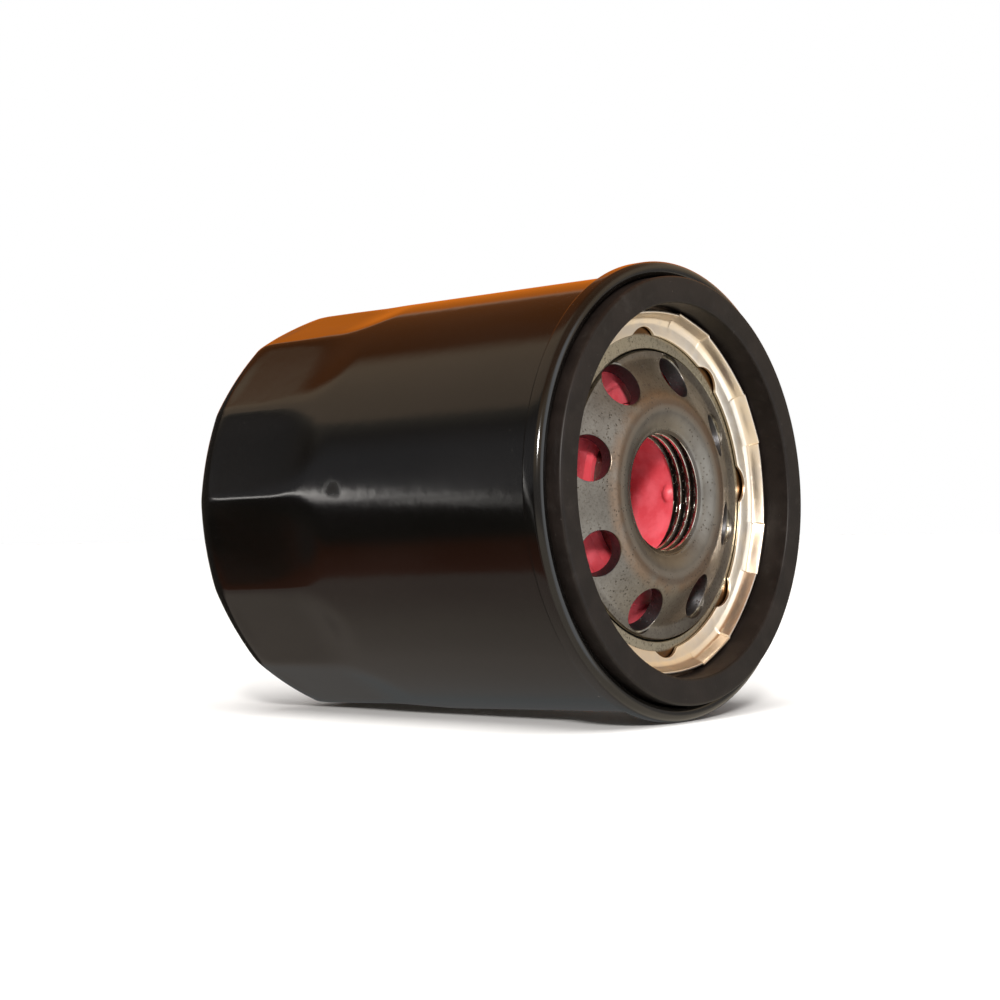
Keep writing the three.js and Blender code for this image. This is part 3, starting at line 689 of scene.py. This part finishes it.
def silicone():
    """Red silicone: satin, slightly see-through at its skin, with a cloudy bloom."""
    skin = Finish("red_silicone", Specular_IOR_Level=0.4, Subsurface_Weight=0.12,
                  Subsurface_Radius=(0.0009, 0.0002, 0.0002), Subsurface_Scale=1.0)
    bloom = skin.noise(3.4, detail=4.0, roughness=0.6)
    fine = skin.noise(0.5, detail=2.0, seed=3.0)
    red = skin.mix(bloom.between(0.35, 0.7), (0.66, 0.065, 0.085), (0.75, 0.12, 0.15))
    return skin.shade(Base_Color=red, Roughness=bloom * 0.2 + 0.3, Normal=skin.bump(fine, 0.02))


red_silicone = silicone()
VALVE_BORE_R = 9.6
PIP_X, PIP_HALF_LENGTH, PIP_HALF_WIDTH, PIP_HEIGHT = 62.5, 0.9, 1.3, 0.8

hub_outline = softened([(52.0, VALVE_BORE_R, 0.4), (52.0, 10.9, 0.5), (60.55, 10.9, 0.2),
                        (60.55, 13.6, 0.1), (63.3, 13.6, 0.1), (63.85, 12.4, 0.4),
                        (63.85, VALVE_BORE_R, 0.2)])


def moulding_pip(x, r, angle):
    """The stub that the mould's vent leaves in the bore."""
    along, across = (x - PIP_X) / PIP_HALF_LENGTH, (angle - math.pi) * VALVE_BORE_R / PIP_HALF_WIDTH
    bump = np.clip(1 - along ** 2 - across ** 2, 0, 1) ** 0.5
    return x, r - PIP_HEIGHT * bump * (r < VALVE_BORE_R + 0.1)


hub = turned("valve_hub", spaced(hub_outline + hub_outline[:1], 0.4)[:-1], evenly(200), moulding_pip)
paint(hub, red_silicone)
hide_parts("anti_drain_valve")
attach(hub, "housing")

lip_outline = softened([(62.57, 13.7, 0.1), (62.72, 20.0, 3.0), (63.22, 24.3, 0.25), (63.85, 24.3, 0.1),
                        (63.85, 22.7, 0.5), (63.6, 20.2, 1.0), (63.42, 17.3, 0.5), (63.62, 16.75, 0.25),
                        (63.42, 16.2, 0.5), (63.55, 13.7, 0.1)])
lip = turned("valve_lip", spaced(lip_outline, 0.8), evenly(160))
paint(lip, red_silicone)
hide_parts("anti_drain_lip")
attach(lip, "drain_lip")

# ---- Threaded plate -----------------------------------------------------------------------------
# The plate is pressed from thick sheet steel: a conical face with eight pierced inlets, a flange
# under the lid, and a drawn neck tapped with the 3/4-16 thread. It is bare and lightly oiled.

MOUTH = 68.84
NECK_END = 63.9
THREAD_MAJOR_R = 9.525
THREAD_MINOR_R = 8.72
THREAD_PITCH = 1.5875
THREAD_START = 0.637              # turns from the first crest to the angle of zero
CREST, CREST_R = 69.75, 12.6      # top of the face, where it starts to roll over into the neck
ROLL_OVER_R = 5.45
FLANGE_TOP = 66.17
CONE_ANGLE = math.radians(27.5)   # fall of the conical face that carries the inlets
INLET_R = 3.4
INLET_CIRCLE_R, INLET_FACE = 18.1, 67.7
INLETS, FIRST_INLET = 8, 15.6
OFF_CENTRE, OFF_CENTRE_ANGLE = 1.1, math.radians(198)    # how far and which way the disc's edge lies


def tap(x, r, angle):
    """Cuts the right-hand thread into the neck's bore, and sets the disc's edge a little off centre."""
    phase = np.mod(x / THREAD_PITCH + angle / (2 * math.pi) - THREAD_START, 1)
    from_root = np.abs(phase - 0.5) * THREAD_PITCH
    depth = np.clip((0.6 - from_root) / 0.47, 0, 1)
    thread = THREAD_MINOR_R + (THREAD_MAJOR_R - THREAD_MINOR_R) * depth
    mouth = THREAD_MAJOR_R - 0.2 - (MOUTH - x) * 2
    tail = THREAD_MINOR_R + 0.3 - (x - NECK_END)
    in_bore = r < THREAD_MAJOR_R
    edge = np.clip((r - 20.1) / 1.4, 0, 1) * np.clip((25.6 - r) / 3.4, 0, 1) * (x > 65.7)
    off_centre = OFF_CENTRE * np.cos(angle - OFF_CENTRE_ANGLE) * edge
    return x, np.where(in_bore, np.maximum.reduce([thread, mouth, tail]), r + off_centre)


def on_cone(r, below=0.0):
    """A point of the cone's face, or one that lies below it in the sheet."""
    return INLET_FACE - math.tan(CONE_ANGLE) * (r - INLET_CIRCLE_R) - below, r


bore = [(x, THREAD_MINOR_R) for x in np.arange(NECK_END, MOUTH, 0.065)]
roll_over = [(CREST - ROLL_OVER_R * (1 - math.cos(a)), CREST_R - ROLL_OVER_R * math.sin(a))
             for a in np.linspace(math.asin((CREST_R - 9.62) / ROLL_OVER_R), 0, 12)]
plate_face = softened([(*roll_over[-1], 0), (CREST, 14.16, 2.6), (*on_cone(20.1), 1.5), (66.55, 21.6, 0.15),
                       (65.8, 21.8, 0.04), (FLANGE_TOP, 22.1, 0.08), (FLANGE_TOP, 26.3, 0.2),
                       (63.92, 26.3, 0.2), (63.92, 20.3, 1.5), (*on_cone(14.5, 2.7), 1.5), (66.5, 11.8, 0.8),
                       (NECK_END, 11.8, 0.2), (NECK_END, THREAD_MINOR_R + 0.3, 0)], step=10)
plate_outline = roll_over[:-1] + spaced(plate_face, 0.6) + bore
plate = turned("threaded_plate", plate_outline, evenly(256), tap, crease=50)

# each inlet is pierced square to the cone, with a small radius on its edge
EDGE_R = 0.26
edge = [(EDGE_R * (math.sin(a) - 1), INLET_R + EDGE_R * (1 - math.cos(a)))
        for a in np.linspace(0, math.pi / 2, 7)]
drill_profile = [(-5.0, 0), (-5.0, INLET_R), *edge, (1.5, INLET_R + EDGE_R + 0.03), (1.5, 0)]
drill = turned("inlet_drill", drill_profile, evenly(70) + 0.02)
drill.data.transform(Matrix.Translation((INLET_FACE / 1000, -INLET_CIRCLE_R / 1000, 0))
                     @ Matrix.Rotation(-CONE_ANGLE, 4, "Z"))
cut_out(plate, repeated("inlet_drills", drill, None, INLETS, first=FIRST_INLET))

# marks the pierced walls, which get painted shade: a darker grey than the face
place = np.empty((len(plate.data.vertices), 3))
plate.data.vertices.foreach_get("co", place.ravel())
turns = np.arctan2(place[:, 2], -place[:, 1]) - math.radians(FIRST_INLET)
turns = np.mod(turns + math.pi / INLETS, 2 * math.pi / INLETS) - math.pi / INLETS
radius = np.hypot(place[:, 1], place[:, 2]) * 1000
out = (radius * np.cos(turns) - INLET_CIRCLE_R) * math.cos(CONE_ANGLE) - (
    place[:, 0] * 1000 - INLET_FACE) * math.sin(CONE_ANGLE)
pierced = plate.data.attributes.new("pierced", "FLOAT", "POINT")
pierced.data.foreach_set("value", np.hypot(out, radius * np.sin(turns)) < INLET_R + 0.03)


def plate_steel():
    """Bare pressed steel: grainy, with brown temper tint round the neck; painted highlights on the thread
    crests and the rolled crest, painted shade in the thread, the inlet walls and the disc's groove.
    """
    steel = Finish("bare_plate_steel", Metallic=1.0)
    grain = steel.noise(0.3, detail=2.0, roughness=0.6)
    cloud = steel.noise(5.5, detail=4.0, roughness=0.55, seed=1.0)
    speckle = steel.noise(0.42, detail=3.0, roughness=0.7, seed=5.0).between(0.5, 0.66)
    pits = steel.specks(0.62, 0.26, seed=4.0, soft=0.08) * steel.noise(3.0, seed=9.0).between(0.4, 0.6)
    tint = steel.r.band(13.9, 1.0, 1.5) * cloud.between(0.25, 0.6)
    base = steel.mix(cloud.between(0.3, 0.72), (0.2, 0.186, 0.164), (0.14, 0.127, 0.111))
    warm = steel.mix(tint * 0.8, base, (0.2, 0.135, 0.09))
    # a painted highlight: a lighter ring along the top of the rolled crest
    rolled_crest_highlight = steel.mix(steel.r.band(12.5, 0.3, 0.6) * 0.35, warm, (0.36, 0.32, 0.27))
    beyond_disc = steel.r.between(20.9, 21.2)
    on_flange = (1 - steel.x.between(66.2, 66.3)) * beyond_disc
    green = steel.mix(on_flange, rolled_crest_highlight, (0.42, 0.38, 0.29))
    rusty = steel.mix(steel.r.between(23.5, 24.0), green, (0.16, 0.08, 0.03))
    # painted shade darkens the thread in the bore, and a painted highlight lightens its crests
    flank = steel.mix(1 - steel.r.between(9.2, 9.35), rusty, (0.085, 0.075, 0.065))
    thread_crest_highlight = steel.mix(1 - steel.r.between(8.74, 8.84), flank, (0.68, 0.65, 0.6))
    # painted shade: the inlets' walls are painted a darker grey
    on_inlet_walls = steel.add("Attribute", {"attribute_name": "pierced"}, output=2)
    inlet_walls_shaded = steel.mix(on_inlet_walls, thread_crest_highlight, (0.1, 0.1, 0.105))
    # painted shade: near black in the groove at the disc's edge and below it
    in_groove = (1 - steel.x.between(66.0, 66.1)) * beyond_disc
    disc_groove_shade = steel.mix(in_groove, inlet_walls_shaded, (0.02, 0.02, 0.02))
    pitted = steel.mix(pits * 0.7, disc_groove_shade, (0.05, 0.045, 0.04))
    speckled = steel.mix(speckle * steel.r.between(12.5, 15.0) * 0.5, pitted, (0.08, 0.07, 0.06))
    face, thread = grain * 0.14 + cloud * 0.1 + 0.24 + on_inlet_walls * 0.1, grain * 0.1 + 0.2
    rough = steel.add("Mix", {}, {0: steel.r.between(9.5, 9.65), 2: thread, 3: face})
    return steel.shade(Base_Color=speckled, Roughness=rough + pits * 0.2,
                       Normal=steel.bump(grain, 0.02, steel.bump(pits, -0.03, steel.bump(cloud, 0.05))))


paint(plate, plate_steel())
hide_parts("tapping_plate")
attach(plate, "housing")

# ---- Lid ------------------------------------------------------------------------------------------
# Tin-plated sheet, spot-welded to the plate's flange inside eight half-moon notches. A ridge,
# pressed outwards in short and long chords, holds the gasket in the channel outside it.

LID_EDGE_R = 23.7
NOTCH_R, NOTCH_CENTRE_R, NOTCH_ANGLE = 3.74, 21.1, 41.6
CHORD_ANGLE, CHORD_HALF = 19.5, 8.75
RIDGE_R, SHORT_CHORD_R = 27.0, 20.0
LONG_CHORD_SHARE = 0.35           # how far a long chord is flattened
CHORD_STEP = 0.35                 # degrees over which a short chord steps down to a long one
sector = math.pi / 4


def from_nearest(angle, first):
    """How far an angle is from the nearest of eight places, in radians."""
    return np.mod(angle - math.radians(first) + sector / 2, sector) - sector / 2


def press_lid(x, r, angle):
    """Pushes the ridge out along its chords, then cuts the notches into the inner edge."""
    across = np.abs(from_nearest(angle, CHORD_ANGLE))
    half, step = math.radians(CHORD_HALF), math.radians(CHORD_STEP)
    short = np.clip((half + step - across) / step, 0, 1)
    long_across = sector / 2 - across
    long_half = sector / 2 - half
    push = short * (0.04 + SHORT_CHORD_R * (1 / np.cos(np.minimum(across, half)) - 1))
    bow = 1 / np.cos(long_across) - 1 / math.cos(long_half)
    push += (1 - short) * RIDGE_R * bow * LONG_CHORD_SHARE
    foot = np.clip((r - 25.1) / 0.9, 0, 1) * np.clip((27.6 - r) / 0.3, 0, 1)
    on_ridge = np.clip((x - 67.0) / 1.4, 0, 1) * (r > 25.2) * (r < 27.7)
    r = r + push * on_ridge + 0.16 * short * foot * (1 - on_ridge) * (x > 66.9)
    from_notch = np.abs(from_nearest(angle, NOTCH_ANGLE))
    inside = np.maximum(0, NOTCH_R ** 2 - (NOTCH_CENTRE_R * np.sin(from_notch)) ** 2)
    reach = np.maximum(LID_EDGE_R, NOTCH_CENTRE_R * np.cos(from_notch) + np.sqrt(inside))
    share = np.clip((25.35 - r) / (25.35 - LID_EDGE_R), 0, 1)
    moved = (reach - LID_EDGE_R) * share
    return x + moved * 0.21, r + moved


creases = [math.radians(CHORD_ANGLE + side * (CHORD_HALF + extra))
           for side in (-1, 1) for extra in (0, CHORD_STEP)]
offsets = np.concatenate([np.linspace(0, sector, 64, endpoint=False), np.mod(creases, sector)])
lid_angles = np.concatenate([np.sort(np.unique(offsets)) + k * sector for k in range(8)])
lid_outline = softened([(67.95, 31.7, 0), (67.95, 27.45, 0.15), (69.1, 27.35, 0.2), (69.1, 26.98, 0.18),
                        (67.42, 26.25, 0.8), (67.05, 25.4, 1.2), (66.72, LID_EDGE_R, 0.12),
                        (66.26, LID_EDGE_R, 0.1), (66.6, 25.4, 0.8), (66.95, 26.5, 0.5), (67.5, 27.1, 0.1),
                        (67.5, 31.7, 0)], step=15)
lid = turned("tin_lid", spaced(lid_outline, 0.42), lid_angles, press_lid, crease=32)


def tinplate():
    """Tin-plated sheet: champagne sheen, wavy from pressing, with scuffs and a few rust dots; a painted
    highlight on the ridge's top and painted shade beside the gasket.
    """
    tin = Finish("tinplate", Metallic=1.0)
    waves = tin.noise(3.2, detail=2.0, seed=2.0)
    drawn = tin.noise(0.6, detail=4.0, roughness=0.6)
    dots = tin.specks(1.2, 0.07, seed=6.0) * tin.noise(4.0, seed=2.0).between(0.5, 0.6)
    scuff = tin.noise(1.6, detail=5.0, roughness=0.7, seed=11.0).between(0.55, 0.7)
    warm = tin.mix(waves.between(0.35, 0.65), (0.94, 0.83, 0.68), (0.87, 0.79, 0.69))
    scuffed = tin.mix(scuff * 0.2, warm, (0.66, 0.6, 0.52))
    dotted = tin.mix(dots * 0.8, scuffed, (0.16, 0.09, 0.05))
    # a painted highlight: the ridge's top is lightened towards white
    ridge_top_highlight = (1 - tin.r.between(27.15, 27.5)) * tin.x.between(68.85, 69.0)
    edge = tin.mix(ridge_top_highlight * 0.3, dotted, (0.9, 0.85, 0.8))
    # painted shade: darker brown in the channel beside the gasket
    gasket_gap_shade = tin.mix(tin.r.between(27.3, 27.45) * 0.8, edge, (0.14, 0.06, 0.03))
    return tin.shade(Base_Color=gasket_gap_shade, Roughness=drawn * 0.08 + scuff * 0.1 + 0.26,
                     Normal=tin.bump(waves, 0.05, tin.bump(drawn, 0.006)))


paint(lid, tinplate())
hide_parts("seaming_lid")
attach(lid, "housing")

# ---- Double seam ------------------------------------------------------------------------------------
# The lid's rim is rolled together with the can's flange, five layers thick, and was painted with
# the can. The roller leaves a smooth bead with a tight lower edge.

seam_outline = softened([(67.9, 31.8, 0), (71.25, 31.8, 1.05), (71.25, 34.2, 1.15), (68.2, 34.17, 0.45),
                         (68.2, 32.8, 0.1), (69.4, 32.8, 0), (69.4, 32.3, 0), (67.9, 32.3, 0)], step=8)
seam = turned("double_seam", seam_outline, evenly(256))
paint(seam, enamel("rim_enamel", 0.035))
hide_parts("seaming_lid")
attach(seam, "housing")

# ---- Gasket -------------------------------------------------------------------------------------------
# A square-cut ring of black nitrile rubber, pushed into the channel between seam and ridge. It
# stands 2 mm proud of the seam and picks up dust and finger marks.

gasket_outline = softened([(68.0, 27.75, 0.3), (68.0, 31.75, 0.3), (73.2, 31.75, 0.45), (73.2, 27.75, 0.4)])
gasket = turned("square_gasket", spaced(gasket_outline + gasket_outline[:1], 1.0)[:-1], evenly(256))
paint(gasket, rubber("gasket_rubber", (0.007, 0.005, 0.0042), 0.45, 0.05))
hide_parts("sealing_gasket")
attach(gasket, "housing")

# ---- Floor, light and camera ----------------------------------------------------------------------------
# The filter rests on its rim and on one wrench flat, on a plain pale floor.

rim_contact, flat_contact = Vector((69.8, 0, -34.25)), Vector((4.5, 0, -32.3))
floor_line = (rim_contact - flat_contact).normalized()
floor_mesh = bpy.data.meshes.new("floor")
reach = 3.0
corners = []
for along, across in ((-1, -1), (1, -1), (1, 1), (-1, 1)):
    corners.append(rim_contact / 1000 + floor_line * along * reach + Vector((0, across * reach, 0)))
floor_mesh.from_pydata(corners, [], [(0, 1, 2, 3)])
floor = bpy.data.objects.new("floor", floor_mesh)
bpy.context.scene.collection.objects.link(floor)
pale = Finish("pale_floor", Roughness=0.8, Specular_IOR_Level=0.1)
cloudy = pale.mix(pale.noise(40.0) * 0.2, (0.86, 0.86, 0.86), (0.84, 0.84, 0.84))
floor_mesh.materials.append(pale.shade(Base_Color=cloudy))
floor.visible_glossy = False


def lamp_from(name, kind, direction, energy, colour):
    """A lamp whose light comes from the given direction."""
    data = bpy.data.lights.new(name, kind)
    data.energy, data.color = energy, colour
    lamp = bpy.data.objects.new(name, data)
    bpy.context.scene.collection.objects.link(lamp)
    lamp.rotation_euler = direction.to_track_quat("Z", "Y").to_euler()
    return lamp


skylight = lamp_from("skylight", "SUN", Vector((0.35, -0.35, 1.0)), 3.3, (1.0, 0.98, 0.95))
skylight.data.angle = math.radians(50)
skylight.visible_glossy = False

MIDDLE, KEY_PLACE = Vector((0.04, 0, 0)), Vector((0.5, -0.56, 0.27))
key = lamp_from("key", "AREA", KEY_PLACE - MIDDLE, 6, (1.0, 0.97, 0.94))
key.data.shape, key.data.size, key.location = "DISK", 0.1, KEY_PLACE

world = bpy.data.worlds.new("studio")
bpy.context.scene.world = world
sky = Nodes(world)
way = sky.add("TexCoord", output=0)
dx, dy, dz = (sky.add("SeparateXYZ", {}, [way], i) for i in range(3))
around = sky.add("Math", {"operation": "ARCTAN2"}, [dz, 0 - dy]) / (2 * math.pi) + 0.5

# the room that the can mirrors: its colour by the angle around the axis, in degrees, which is 0 at
# the side facing -Y and 90 overhead
bands = [
    (-180, (0.06, 0.06, 0.06)), (-158, (0.12, 0.12, 0.12)), (-140, (0.19, 0.2, 0.2)),
    (-125, (0.31, 0.29, 0.27)), (-95, (0.53, 0.46, 0.4)), (-70, (0.57, 0.48, 0.4)),
    (-50, (0.49, 0.38, 0.32)), (-41, (0.49, 0.38, 0.32)), (-38, (0.33, 0.12, 0.07)),
    (-24, (0.21, 0.06, 0.02)), (-18, (0.03, 0.03, 0.02)), (1, (0.03, 0.03, 0.03)),
    (5, (0.3, 0.3, 0.31)), (13, (0.3, 0.3, 0.31)), (28, (0.25, 0.25, 0.26)),
    (40, (0.14, 0.13, 0.12)), (46, (0.3, 0.27, 0.22)), (50, (0.75, 0.57, 0.41)),
    (86, (0.72, 0.52, 0.34)), (94, (0.31, 0.1, 0.025)), (134, (0.31, 0.1, 0.025)),
    (136, (0.75, 0.5, 0.35)), (138, (0.95, 0.24, 0.02)), (170, (0.95, 0.24, 0.02)),
    (176, (0.2, 0.1, 0.05)), (180, (0.1, 0.08, 0.06)),
]
walls = sky.ramp(around, [(angle / 360 + 0.5, colour) for angle, colour in bands])

# a cloudy lamp in front, brightest towards the closed end
patches = sky.add("TexNoise", {}, {"Vector": way, "Scale": 50.0, "Detail": 3.0}).between(0.35, 0.6)
lamp = (around + (dx + 0.71) * 0.372).band(0.5 + 9.5 / 360, 4 / 360, 2 / 360)
near_end, near_seam = 1 - dx.between(-0.69, -0.672) * 0.9, dx.band(-0.648, 0.02, 0.015) * 0.25
faded = (near_end + near_seam) * (patches * 0.6 + 0.4)
lit = sky.mix(lamp * faded * dx.between(-0.79, -0.75), walls, (8.5, 8.2, 7.8))

# the engine end mirrors the other side of the room, with a window in it
left = sky.mix(dx.between(-0.84, -0.78), (0.07, 0.06, 0.05), lit)
low = sky.mix((0 - dz).between(0.05, 0.3), (0.4, 0.37, 0.34), (0.95, 0.84, 0.68))
high = sky.mix(dz.between(0.45, 0.8), (0.85, 0.66, 0.45), (0.4, 0.2, 0.09))
right = sky.mix(dz.between(0.04, 0.3), low, high)
window = sky.mix(dx.between(0.7, 0.84) * dy.between(-0.25, 0.15), right, (1.7, 1.75, 1.8))
room = sky.mix(dx.between(-0.35, 0.0), left, window)
diffuse, seen = sky.add("LightPath", output=2), sky.add("LightPath", output=0)
even = sky.mix(diffuse, room, (0.38, 0.375, 0.37))
backdrop = sky.mix(seen, even, (1.0, 1.0, 1.0))
light = sky.add("Background", {}, {"Color": backdrop, "Strength": 1.0})
sky.add("OutputWorld", {}, {"Surface": light})

AIM = Vector((0.0368, 0.00015, 0.00027))
AZIMUTH, ELEVATION, ROLL, DISTANCE = 38.87, -1.70, 2.11, 0.3288
azimuth, elevation = math.radians(AZIMUTH), math.radians(ELEVATION)
back = Vector((math.sin(azimuth) * math.cos(elevation), -math.cos(azimuth) * math.cos(elevation),
               math.sin(elevation)))
lens = bpy.data.cameras.new("camera")
lens.lens, lens.sensor_width, lens.clip_start = 74.54, 36, 0.01
camera = bpy.data.objects.new("camera", lens)
bpy.context.scene.collection.objects.link(camera)
turn = back.to_track_quat("Z", "Y").to_matrix().to_4x4() @ Matrix.Rotation(math.radians(-ROLL), 4, "Z")
camera.matrix_world = Matrix.Translation(AIM + back * DISTANCE) @ turn
bpy.context.scene.camera = camera
bpy.context.scene.view_settings.view_transform = "Standard"

bpy.context.view_layer.update()
